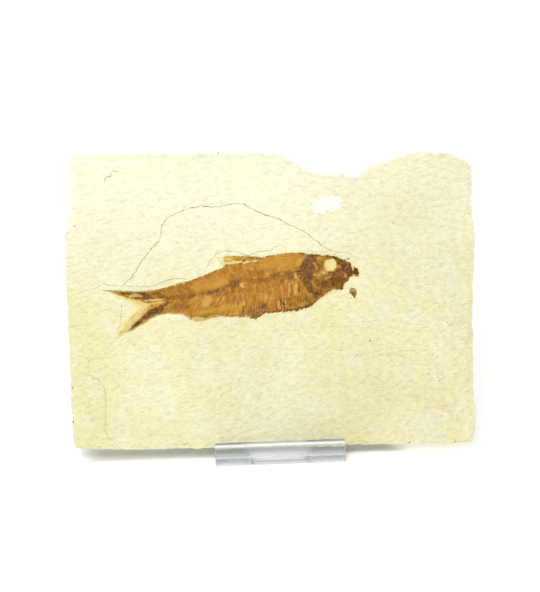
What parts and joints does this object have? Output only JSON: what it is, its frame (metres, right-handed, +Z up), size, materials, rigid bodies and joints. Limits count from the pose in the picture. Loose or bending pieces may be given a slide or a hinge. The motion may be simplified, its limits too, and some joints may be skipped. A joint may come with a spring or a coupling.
{
  "type": "fossil fish slab on an easel stand",
  "caption": "Thin slab of pale limestone with a small fossil fish in low relief on its face, leaning on a clear acrylic easel stand with a fold-out rear leg.",
  "frame": {"origin": "middle of the object's footprint box, on the surface it stands on", "axes": "+Z up, the face with the fish looks towards -Y and leans back, +X to the right seen from the front"},
  "size_m": [0.1504, 0.0584, 0.11],
  "materials": {
    "limestone": "matt, finely pebbled, pale cream",
    "fossil_bone": "brown fossil bone and skin film with a slight sheen",
    "clear_acrylic": "polished clear acrylic"
  },
  "bodies": {
    "root": {"slab": "limestone", "fish": "fossil_bone", "loose_bone_flake": "fossil_bone", "stand": "clear_acrylic"}
  },
  "joints": []
}
